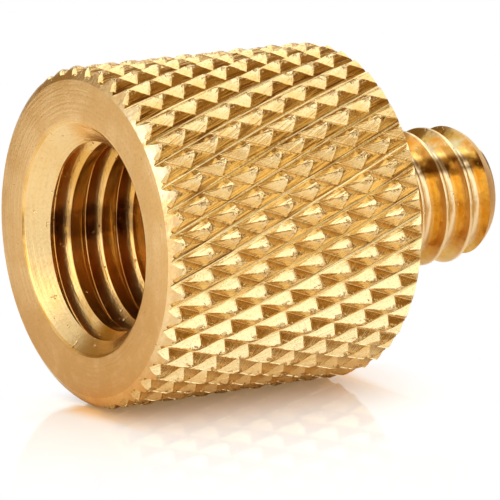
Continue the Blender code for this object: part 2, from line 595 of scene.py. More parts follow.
@dataclass
class Socket:
    """The countersunk, drilled and tapped blind hole."""

    countersink_radius: float = 5.015 * MM
    thread_length: float = 8.60 * MM
    lead_out: float = 1.60 * MM
    full_depth: float = 9.80 * MM
    rim_round: float = 0.35 * MM
    rim_steps: int = 6
    rim_below: float = 0.002 * MM
    countersink_angle: float = math.radians(45.0)
    drill_point: float = math.radians(59.0)
    margin: float = 0.03 * MM
    outside: float = 1.0 * MM
    thread: Thread = field(default_factory=lambda: Thread(
        pitch=25.4 / 16 * MM, crest_radius=4.78 * MM, root_radius=4.08 * MM, crest_flat=0.20 * MM,
        ridge_height=2.097 * MM, segments=144, root_round=0.05 * MM, crest_round=0.05 * MM))

    def tool(self) -> bpy.types.Object:
        """Builds the solid that the socket takes out of the body.

        Returns:
            The drilled, countersunk and tapped shape, which reaches out past the mouth face.
        """
        limit_radius = self.thread.crest_radius + self.margin
        drill_radius = self.thread.root_radius - self.margin
        limit = turned_solid("tap_limit", [
            (0, -self.outside / 2),
            (limit_radius, -self.outside / 2),
            (limit_radius, self.thread_length - self.lead_out),
            (drill_radius - self.margin, self.thread_length),
            (0, self.thread_length),
        ], self.thread.segments)
        tap = machine(self.thread.rod("tap", -self.outside, self.thread_length), limit, Machining.TRIM)
        wide = self.countersink_radius + self.outside
        centre = self.countersink_radius + self.rim_round / math.tan((math.pi - self.countersink_angle) / 2)
        outline: Outline = [(0, -self.outside), (wide, -self.outside)]
        for step in range(self.rim_steps + 1):
            turn = self.countersink_angle * step / self.rim_steps
            outline.append((centre - self.rim_round * math.sin(turn),
                            self.rim_round * (1 - math.cos(turn)) - self.rim_below))
        outline += [
            (drill_radius, self.countersink_radius - drill_radius),
            (drill_radius, self.full_depth),
            (0, self.full_depth + drill_radius / math.tan(self.drill_point)),
        ]
        drill = turned_solid("drill", outline, self.thread.segments)
        return machine(drill, tap, Machining.JOIN)


@dataclass
class Adapter:
    """The whole adapter, which is one turned piece."""

    length: float = BODY_LENGTH
    chamfer_depth: float = 0.57 * MM
    chamfer_length: float = 1.1 * MM
    margin: float = 0.03 * MM
    segments: int = 168
    smallest_edge: float = 0.0001 * MM
    sharp_angle: float = math.radians(24.0)
    slack: float = 0.02 * MM
    shoulder_inset: float = 0.1 * MM
    countersink_depth: float = 0.96 * MM
    chamfer_height: float = 0.45 * MM
    shoulder_facing: float = 0.9
    end_facing: float = 0.3
    countersink_facing: float = -0.6
    chamfer_facing: float = 0.55
    knurl: Knurl = field(default_factory=Knurl)
    stud: Stud = field(default_factory=Stud)
    socket: Socket = field(default_factory=Socket)

    def blank(self) -> bpy.types.Object:
        """Builds the turned shape that the knurled bar is trimmed to.

        Returns:
            The shape, with the chamfers' profile at both ends.
        """
        face_radius = self.knurl.crest_radius - self.chamfer_depth
        rim_radius = self.knurl.crest_radius + self.margin
        chamfer: Outline = [(-0.04, 0.0), (-0.01, 0.008), (0.02, 0.025), (0.16, 0.115),
                            (0.34, 0.25), (0.46, 0.40), (0.54, 0.58), (0.58, 0.80)]
        low = [(face_radius + out * MM, rise * MM) for out, rise in chamfer]
        high = [(radius, self.length - rise) for radius, rise in reversed(low)]
        return turned_solid("turned_blank", [
            (0, 0),
            *low,
            (rim_radius, self.chamfer_length),
            (rim_radius, self.length - self.chamfer_length),
            *high,
            (0, self.length),
        ], self.segments)

    def build(self) -> bpy.types.Object:
        """Builds the adapter's mesh.

        Returns:
            The finished piece, still without materials.
        """
        body = machine(self.knurl.bar("knurled_adapter", 0.0, self.length), self.blank(), Machining.TRIM)
        log.info("knurled body: %d faces", len(body.data.polygons))
        machine(body, self.stud.build(), Machining.JOIN)
        machine(body, self.socket.tool(), Machining.CUT)
        builder = bmesh.new()
        builder.from_mesh(body.data)
        bmesh.ops.dissolve_degenerate(builder, edges=builder.edges, dist=self.smallest_edge)
        bmesh.ops.triangulate(builder, faces=[face for face in builder.faces if len(face.verts) > 4])
        builder.to_mesh(body.data)
        builder.free()
        body.data.name = body.name
        body.data.shade_smooth()
        body.data.set_sharp_from_angle(angle=self.sharp_angle)
        log.info("whole adapter: %d faces", len(body.data.polygons))
        return body

    def surface_of(self, centre: Vector, normal: Vector) -> Surface:
        """Tells which kind of surface a face belongs to.

        Args:
            centre: The face's centre.
            normal: Its outward normal.

        Returns:
            The kind of surface.
        """
        radius = math.hypot(centre.x, centre.y)
        outward = (normal.x * centre.x + normal.y * centre.y) / max(radius, 1e-9)
        if centre.z > self.length - self.slack and radius < self.knurl.root_radius - self.shoulder_inset:
            on_shoulder = abs(centre.z - self.length) < self.slack and normal.z > self.shoulder_facing
            rounded_from = self.length + self.stud.length - self.stud.end_length
            on_end = centre.z > rounded_from and normal.z > self.end_facing
            return Surface.TURNED_FACE if on_shoulder or on_end else Surface.STUD
        if centre.z < self.slack / 2 or radius < self.socket.thread.root_radius / 2:
            return Surface.TURNED_FACE
        if outward < 0.0 or radius < self.socket.countersink_radius:
            deep = centre.z > self.countersink_depth or outward > self.countersink_facing
            return Surface.BORE if deep else Surface.COUNTERSINK
        from_end = min(centre.z, self.length - centre.z)
        if abs(normal.z) > self.chamfer_facing and from_end < self.chamfer_height:
            return Surface.CHAMFER
        return Surface.KNURL

    def mark(self, body: bpy.types.Object) -> None:
        """Gives each face its material slot and lays the knurl's line numbers down as a UV map.

        Args:
            body: The adapter's object, whose mesh is marked.
        """
        mesh = body.data
        lines = mesh.uv_layers.new(name="lines")
        for face in mesh.polygons:
            face.material_index = self.surface_of(face.center, face.normal).value
            middle = math.atan2(face.center.y, face.center.x)
            for index in face.loop_indices:
                point = mesh.vertices[mesh.loops[index].vertex_index].co
                angle = math.atan2(point.y, point.x)
                angle += FULL_TURN * round((middle - angle) / FULL_TURN)
                lines.data[index].uv = self.knurl.lines_at(angle, point.z)


class NodeKit:
    """Adds nodes to one node tree and links them."""

    def __init__(self, tree: bpy.types.NodeTree) -> None:
        """Takes the tree that the nodes go into."""
        self.nodes = tree.nodes
        self.links = tree.links

    def feed(self, target: Plug, value: Number | Colour | Vector) -> None:
        """Links a node's output to an input, or sets the input to a plain value.

        Args:
            target: The input.
            value: The output or the plain value.
        """
        if isinstance(value, Plug):
            self.links.new(value, target)
        else:
            target.default_value = value

    def maths(self, operation: str, first: Number, second: Number = 0.0) -> Plug:
        """Works out one sum.

        Args:
            operation: The kind of sum, such as MULTIPLY.
            first: The first number.
            second: The second number.

        Returns:
            The result's plug.
        """
        node = self.nodes.new("ShaderNodeMath")
        node.operation = operation
        self.feed(node.inputs[0], first)
        self.feed(node.inputs[1], second)
        return node.outputs[0]

    def times(self, first: Plug, *others: Number) -> Plug:
        """Multiplies a value by each of the others in turn.

        Args:
            first: The value.
            *others: The values or numbers that it is multiplied by.

        Returns:
            The product's plug.
        """
        for other in others:
            first = self.maths('MULTIPLY', first, other)
        return first

    def opposite(self, share: Plug) -> Plug:
        """Gives what is left of one when a share is taken away."""
        return self.maths('SUBTRACT', 1.0, share)

    def raised(self, share: Plug, swing: float, least: float) -> Plug:
        """Scales a share and lifts it.

        Args:
            share: The share.
            swing: How much the result grows from a share of 0 to one of 1.
            least: The result at a share of 0.

        Returns:
            The result's plug.
        """
        return self.maths('ADD', self.times(share, swing), least)

    def apart(self, first: Number, second: Number) -> Plug:
        """Gives how far two values are apart."""
        return self.maths('ABSOLUTE', self.maths('SUBTRACT', first, second))

    def between(self, value: Plug, low: float, high: float) -> Plug:
        """Maps a value to a share with soft ends.

        Args:
            value: The value.
            low: The value at which the share is 0, and before which it stays so.
            high: The value at which it is 1, and beyond which it stays so.

        Returns:
            The share's plug.
        """
        node = self.nodes.new("ShaderNodeMapRange")
        node.interpolation_type = 'SMOOTHSTEP'
        self.feed(node.inputs["Value"], value)
        node.inputs["From Min"].default_value = low
        node.inputs["From Max"].default_value = high
        return node.outputs["Result"]

    def vector(self, x: Number, y: Number, z: Number = 0.0) -> Plug:
        """Joins three numbers into a vector.

        Args:
            x: The first number.
            y: The second number.
            z: The third number.

        Returns:
            The vector's plug.
        """
        node = self.nodes.new("ShaderNodeCombineXYZ")
        for target, value in zip(node.inputs, (x, y, z)):
            self.feed(target, value)
        return node.outputs[0]

    def parts(self, vector: Plug) -> tuple[Plug, ...]:
        """Splits a vector into its three numbers.

        Args:
            vector: The vector.

        Returns:
            The three numbers' plugs.
        """
        node = self.nodes.new("ShaderNodeSeparateXYZ")
        self.feed(node.inputs[0], vector)
        return tuple(node.outputs)

    def along(self, vector: Plug, axis: Vector) -> Plug:
        """Gives a vector's part along an axis.

        Args:
            vector: The vector.
            axis: The axis, one unit long.

        Returns:
            The plug of the part's signed length.
        """
        node = self.nodes.new("ShaderNodeVectorMath")
        node.operation = 'DOT_PRODUCT'
        self.feed(node.inputs[0], vector)
        self.feed(node.inputs[1], axis)
        return node.outputs["Value"]

    def grain(self, vector: Plug, scale: float, detail: float = 2.0) -> Plug:
        """Gives a soft random value.

        Args:
            vector: The place it is read at.
            scale: How many grains there are in one unit.
            detail: How many finer layers there are.

        Returns:
            A value around one half.
        """
        node = self.nodes.new("ShaderNodeTexNoise")
        self.feed(node.inputs["Vector"], vector)
        node.inputs["Scale"].default_value = scale
        node.inputs["Detail"].default_value = detail
        return node.outputs[0]

    def blend(self, share: Plug, first: Plug | Colour, second: Plug | Colour) -> Plug:
        """Mixes two colours.

        Args:
            share: How much of the second colour there is, between 0 and 1.
            first: The first colour.
            second: The second colour.

        Returns:
            The mixed colour's plug.
        """
        node = self.nodes.new("ShaderNodeMix")
        node.data_type = 'RGBA'
        self.feed(node.inputs[0], share)
        self.feed(node.inputs[6], first)
        self.feed(node.inputs[7], second)
        return node.outputs[2]

    def cover(self, share: Plug, first: Plug, second: Plug) -> Plug:
        """Mixes two shaders.

        Args:
            share: How much of the second shader there is, between 0 and 1.
            first: The first shader.
            second: The second shader.

        Returns:
            The mixed shader's plug.
        """
        node = self.nodes.new("ShaderNodeMixShader")
        for target, value in zip(node.inputs, (share, first, second)):
            self.feed(target, value)
        return node.outputs[0]


class Recipe(NodeKit):
    """Puts the nodes of one brass finish together."""

    def __init__(self, name: str, roughness: float) -> None:
        """Starts a bare metal material.

        Args:
            name: The material's name.
            roughness: How rough the metal is all over.
        """
        self.material = bpy.data.materials.new(name)
        self.material.use_nodes = True
        super().__init__(self.material.node_tree)
        self.shader = self.nodes["Principled BSDF"]
        self.shader.inputs["Metallic"].default_value = 1.0
        self.shader.inputs["Roughness"].default_value = roughness

    def place(self) -> Plug:
        """Gives the place on the adapter.

        Returns:
            The place's plug, in millimetres.
        """
        source = self.nodes.new("ShaderNodeTexCoord")
        node = self.nodes.new("ShaderNodeVectorMath")
        node.operation = 'SCALE'
        self.feed(node.inputs[0], source.outputs["Object"])
        node.inputs["Scale"].default_value = 1.0 / MM
        return node.outputs[0]

    def lines(self) -> tuple[Plug, Plug]:
        """Gives the line numbers that the mesh carries.

        Returns:
            The left-hand and the right-hand number's plug.
        """
        node = self.nodes.new("ShaderNodeUVMap")
        node.uv_map = "lines"
        across = self.parts(node.outputs[0])
        return across[0], across[1]

    def bump(self, height: Plug, depth: float, below: Plug | None = None) -> Plug:
        """Turns a height between 0 and 1 into a bump.

        Args:
            height: The height.
            depth: The depth in metres that a height of 1 stands for.
            below: The bump that this one lies on.

        Returns:
            The normal.
        """
        node = self.nodes.new("ShaderNodeBump")
        node.inputs["Distance"].default_value = depth
        self.feed(node.inputs["Height"], height)
        if below is not None:
            self.feed(node.inputs["Normal"], below)
        return node.outputs[0]

    def finish(self, colour: Plug, normal: Plug) -> bpy.types.Material:
        """Links the colour and the bump to the shader.

        Args:
            colour: The colour.
            normal: The uppermost bump.

        Returns:
            The finished material.
        """
        self.feed(self.shader.inputs["Base Color"], colour)
        self.feed(self.shader.inputs["Normal"], normal)
        return self.material


class KnurlRecipe(Recipe):
    """A recipe that also knows where on the knurl each place lies."""

    far_span: Span = (0.3, 0.6)
    ridge_span: Span = (0.07, 0.0)
    side_span: Span = (-0.06, 0.06)

    def __init__(self, name: str, roughness: float) -> None:
        """Works out the shares that the knurl's finish is laid on with.

        Args:
            name: The material's name.
            roughness: How rough the metal is all over.
        """
        super().__init__(name, roughness)
        self.spot = self.place()
        self.left, self.right = self.lines()
        self.from_left = self.maths('PINGPONG', self.left, 0.5)
        self.across = self.maths('FRACT', self.right)
        rising = self.times(self.across, 0.5 / Knurl.right_peak)
        falling = self.times(self.opposite(self.across), 0.5 / (1.0 - Knurl.right_peak))
        from_right = self.maths('MINIMUM', rising, falling)
        self.far_flank = self.between(self.maths('FRACT', self.left), *self.far_span)
        slope = 0.5 * (1.0 + Knurl.left_extra / Knurl.depth) / (0.5 - Knurl.left_floor)
        left_level = self.maths('ADD', self.times(self.from_left, slope), 0.5 - 0.5 * slope)
        self.top = self.maths('MINIMUM', left_level, from_right)
        self.ridge = self.between(self.apart(left_level, from_right), *self.ridge_span)
        self.beside_left = self.between(self.maths('SUBTRACT', from_right, left_level), *self.side_span)
        self.beside_right = self.opposite(self.beside_left)
        self.near_flank = self.times(self.beside_left, self.opposite(self.far_flank))


@dataclass(frozen=True)
class KnurledBrass:
    """The cut knurl: lines drawn along the left-hand grooves, ragged ridges and pitted tops, with painted
    highlights on the near flanks, the tips and the groove floors and painted shade on the far flanks and the
    wedges.

    A scale counts grains to the millimetre or to the groove.
    A span says where a share starts and where it is full.
    """

    colour: Colour = (0.93, 0.70, 0.33, 1.0)
    roughness: float = 0.17
    warm_colour: Colour = (0.89, 0.60, 0.23, 1.0)
    warm_scale: float = 1.7
    warm_span: Span = (0.35, 0.68)
    near_highlight_colour: Colour = (0.95, 0.78, 0.42, 1.0)
    near_highlight_share: float = 0.8
    far_shade_colour: Colour = (0.82, 0.54, 0.19, 1.0)
    far_shade_share: float = 0.5
    tip_highlight_colour: Colour = (0.97, 0.84, 0.52, 1.0)
    tip_highlight_share: float = 0.45
    tip_highlight_span: Span = (0.12, 0.34)
    peak_edge: float = 0.04
    floor_highlight_colour: Colour = (0.97, 0.78, 0.40, 1.0)
    floor_highlight_span: Span = (0.08, 0.03)
    # Dark brown of the pits, the specks and the dark drawn lines, also used for the painted shade of the
    # wedges.
    pit_and_shade_colour: Colour = (0.36, 0.18, 0.04, 1.0)
    pit_share: float = 0.55
    pit_scale: float = 4.4
    pit_span: Span = (0.52, 0.60)
    pit_rise: Span = (0.24, 0.36)
    pit_depth: float = 0.04 * MM
    wedge_shade_share: float = 0.45
    wedge_shade_span: Span = (0.24, 0.05)
    speck_share: float = 0.22
    speck_scale: float = 10.0
    speck_span: Span = (0.46, 0.34)
    line_scale: float = 11.0
    line_slant: float = 0.06
    line_depth: float = 0.030 * MM
    scored_share: float = 0.8
    scored_span: Span = (0.53, 0.40)
    scored_reach: Span = (0.3, 0.08)
    strength_scale: float = 0.45
    strength_span: Span = (0.3, 0.65)
    cross_scale: float = 9.0
    cross_slant: float = 0.10
    cross_depth: float = 0.010 * MM
    grain_scale: float = 8.0
    grain_depth: float = 0.009 * MM
    ragged_scale: float = 7.0
    ragged_depth: float = 0.030 * MM

    def material(self) -> bpy.types.Material:
        """Makes the material.

        Returns:
            The material.
        """
        recipe = KnurlRecipe("knurled_brass", self.roughness)
        along = recipe.vector(recipe.left, recipe.times(recipe.right, self.line_slant))
        drawn = recipe.grain(along, self.line_scale, 3.0)
        patchy = recipe.between(recipe.grain(recipe.spot, self.strength_scale), *self.strength_span)
        strength = recipe.times(recipe.raised(patchy, 1.0, 0.35), recipe.raised(recipe.far_flank, 0.7, 0.5))
        pitted = recipe.between(recipe.grain(recipe.spot, self.pit_scale, 2.0), *self.pit_span)
        pits = recipe.times(pitted, recipe.between(recipe.top, *self.pit_rise))
        normal = self.marks(recipe, recipe.times(drawn, strength), pits)
        # Dark drawn lines: partly dirt in the lines and partly painted shade low on the far flanks.
        scored = recipe.times(self.scored(recipe, drawn, strength), self.scored_share)
        colour = recipe.blend(scored, self.flanks(recipe), self.pit_and_shade_colour)
        colour = recipe.blend(recipe.times(pits, self.pit_share), colour, self.pit_and_shade_colour)
        return recipe.finish(colour, normal)

    def marks(self, recipe: KnurlRecipe, drawn: Plug, pits: Plug) -> Plug:
        """Lays the tool's marks over each other.

        Args:
            recipe: The recipe.
            drawn: The height of the lines along the left-hand grooves.
            pits: The pitted share.

        Returns:
            The normal.
        """
        along = recipe.vector(recipe.times(recipe.left, self.cross_slant), recipe.right)
        crossed = recipe.times(recipe.grain(along, self.cross_scale, 3.0), recipe.beside_right)
        ragged = recipe.times(recipe.ridge, recipe.grain(recipe.spot, self.ragged_scale, 1.0))
        normal = recipe.bump(drawn, self.line_depth)
        normal = recipe.bump(crossed, self.cross_depth, normal)
        normal = recipe.bump(recipe.grain(recipe.spot, self.grain_scale, 3.0), self.grain_depth, normal)
        normal = recipe.bump(ragged, self.ragged_depth, normal)
        return recipe.bump(recipe.opposite(pits), self.pit_depth, normal)

    def scored(self, recipe: KnurlRecipe, drawn: Plug, strength: Plug) -> Plug:
        """Finds where the drawn lines show dark: partly dirt in the lines and partly painted shade,
        strongest low on the far flanks.

        Args:
            recipe: The recipe.
            drawn: The lines' height.
            strength: How strongly they are cut.

        Returns:
            The dark share.
        """
        low = recipe.raised(recipe.between(recipe.from_left, *self.scored_reach), 0.55, 0.35)
        beside = recipe.raised(recipe.beside_left, 0.8, 0.2)
        far = recipe.raised(recipe.far_flank, 1.0, 0.25)
        return recipe.times(recipe.between(drawn, *self.scored_span), strength, far, low, beside)

    def flanks(self, recipe: KnurlRecipe) -> Plug:
        """Colours the flanks, the tips and the grooves' floors, with painted highlights and painted shade.

        Args:
            recipe: The recipe.

        Returns:
            The colour, still without the lines and the pits.
        """
        warm = recipe.between(recipe.grain(recipe.spot, self.warm_scale, 3.0), *self.warm_span)
        colour = recipe.blend(warm, self.colour, self.warm_colour)
        # Painted highlight: the near flanks are coloured paler, as if lit.
        colour = recipe.blend(recipe.times(recipe.near_flank, self.near_highlight_share), colour, self.near_highlight_colour)
        # Painted shade: the far flanks beside the left-hand grooves are coloured darker.
        far_shade = recipe.times(recipe.beside_left, recipe.far_flank, self.far_shade_share)
        colour = recipe.blend(far_shade, colour, self.far_shade_colour)
        peak = Knurl.right_peak
        past_peak = recipe.between(recipe.across, peak - self.peak_edge, peak + self.peak_edge)
        # Painted highlight on the tips of the lit flanks.
        light = recipe.maths('MAXIMUM', recipe.near_flank, recipe.times(recipe.beside_right, past_peak))
        tips = recipe.times(light, recipe.between(recipe.top, *self.tip_highlight_span), self.tip_highlight_share)
        colour = recipe.blend(tips, colour, self.tip_highlight_colour)
        # Painted highlight: a pale line along the floors of the left-hand grooves.
        colour = recipe.blend(recipe.between(recipe.from_left, *self.floor_highlight_span), colour, self.floor_highlight_colour)
        # Painted shade: a dark wedge on the flank just past each right-hand groove.
        wedge_shade = recipe.times(recipe.between(recipe.across, *self.wedge_shade_span), recipe.beside_right)
        colour = recipe.blend(recipe.times(wedge_shade, self.wedge_shade_share), colour, self.pit_and_shade_colour)
        specks = recipe.between(recipe.grain(recipe.spot, self.speck_scale, 2.0), *self.speck_span)
        return recipe.blend(recipe.times(specks, self.speck_share), colour, self.pit_and_shade_colour)


@dataclass(frozen=True)
class SideStrip:
    """A darker or lighter strip along one side of a turned surface, placed in millimetres off the axis; on
    the bore, the stud and the chamfer it is painted reflection and painted highlight.
    """

    colour: Colour
    middle: float
    half_width: float
    patches: float = 1.0
    patch_scale: float = 1.6
    patch_span: Span = (0.52, 0.28)
    share: float = 0.9
    full_width: float = 0.4

    def over(self, recipe: Recipe, place: Plug, colour: Plug) -> Plug:
        """Lays the side strip over a colour.

        Args:
            recipe: The recipe.
            place: The place in millimetres.
            colour: The colour under the strip.

        Returns:
            The colour with the strip laid over it.
        """
        off = recipe.apart(recipe.parts(place)[1], self.middle)
        patchy = recipe.between(recipe.grain(place, self.patch_scale, 2.0), *self.patch_span)
        missed = recipe.times(patchy, self.patches)
        strip = recipe.between(off, self.half_width, self.half_width * self.full_width)
        share = recipe.times(strip, recipe.opposite(missed), self.share)
        return recipe.blend(share, colour, self.colour)


@dataclass(frozen=True)
class TurnedBrass:
    """Brass faced, bored or threaded on a lathe, with fine marks round the axis and perhaps darker and
    lighter side strips.

    A scale counts grains to the millimetre. A span says where a share starts and where it is full.
    """

    name: str
    colour: Colour
    warm_colour: Colour
    roughness: float
    warm_scale: float = 0.5
    warm_span: Span = (0.4, 0.62)
    mark_scale: float = 10.0
    mark_slant: float = 0.04
    mark_depth: float = 0.02 * MM
    mark_share: float = 0.35
    mark_span: Span = (0.40, 0.62)
    grain_scale: float = 7.0
    grain_height: float = 0.8
    nick_scale: float = 3.2
    nick_span: Span = (0.68, 0.75)
    nick_depth: float = 0.03 * MM
    wave_scale: float = 1.1
    wave_depth: float = 0.0
    crest_highlight_colour: Colour = (0.93, 0.71, 0.41, 1.0)
    crest_from: float = 0.0
    crest_fade: float = 0.4
    pale_root: float = 0.0
    root_fade: float = 0.12
    speck_colour: Colour = (0.30, 0.15, 0.04, 1.0)
    speck_share: float = 0.10
    speck_span: Span = (0.50, 0.36)
    side_strips: tuple[SideStrip, ...] = ()

    def material(self) -> bpy.types.Material:
        """Makes the material.

        Returns:
            The material.
        """
        recipe = Recipe(self.name, self.roughness)
        place = recipe.place()
        x, y, z = recipe.parts(place)
        radius = recipe.maths('SQRT', recipe.maths('ADD', recipe.times(x, x), recipe.times(y, y)))
        turned = recipe.vector(radius, z, recipe.times(x, self.mark_slant))
        marks = recipe.grain(turned, self.mark_scale, 3.0)
        grain = recipe.grain(place, self.grain_scale, 4.0)
        nicks = recipe.between(recipe.grain(place, self.nick_scale, 2.0), *self.nick_span)
        normal = recipe.bump(marks, self.mark_depth)
        normal = recipe.bump(grain, self.mark_depth * self.grain_height, normal)
        normal = recipe.bump(recipe.opposite(nicks), self.nick_depth, normal)
        if self.wave_depth > 0:
            normal = recipe.bump(recipe.grain(place, self.wave_scale, 2.0), self.wave_depth, normal)
        warm = recipe.between(recipe.grain(place, self.warm_scale, 3.0), *self.warm_span)
        colour = recipe.blend(warm, self.colour, self.warm_colour)
        lines = recipe.times(recipe.between(marks, *self.mark_span), self.mark_share)
        colour = recipe.blend(lines, colour, self.warm_colour)
        specks = recipe.times(recipe.between(grain, *self.speck_span), self.speck_share)
        colour = recipe.blend(specks, colour, self.speck_colour)
        # Painted highlight: paler colour on the thread's crests and in its roots.
        if self.crest_from > 0:
            crest_highlights = recipe.between(radius, self.crest_from, self.crest_from + self.crest_fade)
            colour = recipe.blend(crest_highlights, colour, self.crest_highlight_colour)
            root_highlights = recipe.between(radius, self.pale_root, self.pale_root - self.root_fade)
            colour = recipe.blend(root_highlights, colour, self.crest_highlight_colour)
        # Side strips: painted reflection and painted highlight on the bore, the stud and the chamfer, and a
        # darker strip on the face.
        for side_strip in self.side_strips:
            colour = side_strip.over(recipe, place, colour)
        return recipe.finish(colour, normal)


def finish_of(surface: Surface) -> KnurledBrass | TurnedBrass:
    """Gives the finish that a kind of surface has.

    Args:
        surface: The kind of surface.

    Returns:
        The finish, whose material isn't made yet.
    """
    finishes = {
        Surface.KNURL: KnurledBrass(),
        # The mouth face is darker orange on its half towards the table.
        Surface.TURNED_FACE: TurnedBrass(
            "faced_brass", (0.96, 0.66, 0.31, 1.0), (0.86, 0.54, 0.21, 1.0), 0.42, mark_share=0.7,
            side_strips=(SideStrip((0.68, 0.36, 0.10, 1.0), 6.6, 6.0, patches=0.4, share=0.62),)),
        # Painted reflection: a dark band across the bore, where it would mirror a dark part of the studio.
        Surface.BORE: TurnedBrass(
            "tapped_brass", (0.93, 0.62, 0.25, 1.0), (0.80, 0.45, 0.11, 1.0), 0.2, mark_scale=9.0,
            mark_depth=0.006 * MM, side_strips=(SideStrip((0.36, 0.20, 0.07, 1.0), -0.72, 0.95),)),
        # Painted reflection and painted highlight: brown, cream and near-black bands across the stud.
        Surface.STUD: TurnedBrass(
            "threaded_brass", (0.94, 0.64, 0.20, 1.0), (0.82, 0.48, 0.09, 1.0), 0.2, mark_scale=8.0,
            mark_depth=0.004 * MM, warm_scale=0.9, wave_depth=0.06 * MM, crest_from=2.72, pale_root=2.56,
            side_strips=(SideStrip((0.45, 0.28, 0.09, 1.0), -2.9, 0.5, share=0.6),
                    SideStrip((0.99, 0.86, 0.50, 1.0), -1.95, 0.5),
                    SideStrip((0.16, 0.07, 0.015, 1.0), -1.25, 0.5))),
        # Painted highlight: a cream strip on the chamfers' side away from the table.
        Surface.CHAMFER: TurnedBrass(
            "chamfered_brass", (0.93, 0.69, 0.36, 1.0), (0.86, 0.57, 0.25, 1.0), 0.3, mark_scale=6.0,
            mark_depth=0.03 * MM, wave_depth=0.08 * MM, side_strips=(SideStrip((0.98, 0.86, 0.55, 1.0), -3.1, 2.7),)),
        Surface.COUNTERSINK: TurnedBrass(
            "countersunk_brass", (0.95, 0.70, 0.34, 1.0), (0.90, 0.58, 0.22, 1.0), 0.25,
            mark_depth=0.008 * MM, warm_scale=0.35),
    }
    return finishes[surface]


@dataclass
class ViewPoint:
    """The camera at the photograph's viewing angle."""

    middle: float = 8.0 * MM
    distance: float = 225.08 * MM
    angle_from_axis: float = math.radians(57.68)
    roll: float = math.radians(-7.218)
    aim_right: float = 0.392 * MM
    aim_up: float = -1.334 * MM
    lens: float = 375.18
    sensor: float = 36.0
    nearest: float = 0.01
    farthest: float = 10.0

    def axes(self) -> tuple[Vector, Vector, Vector]:
        """Works out how the camera is turned.

        Returns:
            The picture's right, its up and the way towards the camera.
        """
        towards = Vector((math.sin(self.angle_from_axis), 0.0, -math.cos(self.angle_from_axis)))
        up = Vector((0.0, -1.0, 0.0))
        right = up.cross(towards).normalized()
        turn = Matrix.Rotation(self.roll, 3, towards)
        return turn @ right, turn @ up, towards

    def place(self) -> bpy.types.Object:
        """Makes the camera and gives it to the scene.

        Returns:
            The camera.
        """
        right, up, towards = self.axes()
        eye = Vector((0, 0, self.middle)) + towards * self.distance
        target = Vector((0, 0, self.middle)) + right * self.aim_right + up * self.aim_up
        back = (eye - target).normalized()
        side = up.cross(back).normalized()
        top = back.cross(side)
        camera = bpy.data.objects.new("camera", bpy.data.cameras.new("camera"))
        bpy.context.collection.objects.link(camera)
        camera.data.lens = self.lens
        camera.data.sensor_width = self.sensor
        camera.data.clip_start = self.nearest
        camera.data.clip_end = self.farthest
        camera.matrix_world = Matrix.Translation(eye) @ Matrix((side, top, back)).transposed().to_4x4()
        bpy.context.scene.camera = camera
        return camera


@dataclass(frozen=True)
class Card:
    """One soft bright or dark card that stands round the table and is mirrored in the brass.

    Its angles are in degrees: round the table from the camera's side to the right, and up from the table.
    """

    name: str
    around: float
    height: float
    half_width: float
    half_height: float
    colour: tuple[float, float, float]
    softness: float = 9.0

    def edges(self, half_size: float) -> Span:
        """Gives the angles from the card's middle at which its light starts and at which it is full."""
        return math.radians(half_size + self.softness), math.radians(max(half_size - self.softness, 0.0))

    def share(self, kit: NodeKit, near: Plug, height: Plug) -> Plug:
        """Finds how much of a direction the card takes up.

        Args:
            kit: The world's node kit.
            near: The cosine of the angle round the table from the card's middle to the direction.
            height: The direction's angle above the table.

        Returns:
            A share, 1 on the card and 0 off it.
        """
        start, full = self.edges(self.half_width)
        inside = kit.between(near, math.cos(start), math.cos(full))
        level = kit.between(kit.apart(height, math.radians(self.height)), *self.edges(self.half_height))
        return kit.times(inside, level)


